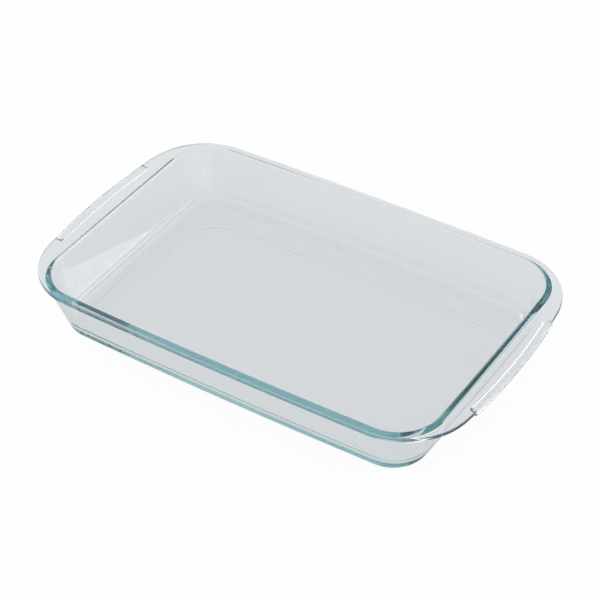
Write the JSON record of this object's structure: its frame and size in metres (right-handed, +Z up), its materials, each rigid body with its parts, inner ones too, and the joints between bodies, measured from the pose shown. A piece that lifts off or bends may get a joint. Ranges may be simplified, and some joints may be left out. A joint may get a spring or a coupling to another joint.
{
  "type": "baking_dish",
  "caption": "Shallow oblong baking dish of clear pressed glass, with rounded corners, a flat rim and a bowed handle flange along each short end.",
  "frame": {"origin": "centre of the flat base, on the surface that the dish stands on", "axes": "+X along the dish from the left handle to the right one, +Y across it from the front long side to the back one, +Z up out of the opening"},
  "size_m": [0.388, 0.235, 0.048],
  "materials": {
    "clear_glass": "fire-polished pressed glass, clear with a faint blue-green edge"
  },
  "bodies": {
    "root": {"base_panel": "clear_glass", "front_wall": "clear_glass", "back_wall": "clear_glass", "left_wall": "clear_glass", "right_wall": "clear_glass", "front_rim": "clear_glass", "back_rim": "clear_glass", "left_handle": "clear_glass", "right_handle": "clear_glass", "left_grip": "clear_glass", "right_grip": "clear_glass", "front_left_corner": "clear_glass", "front_right_corner": "clear_glass", "back_left_corner": "clear_glass", "back_right_corner": "clear_glass"}
  },
  "joints": []
}
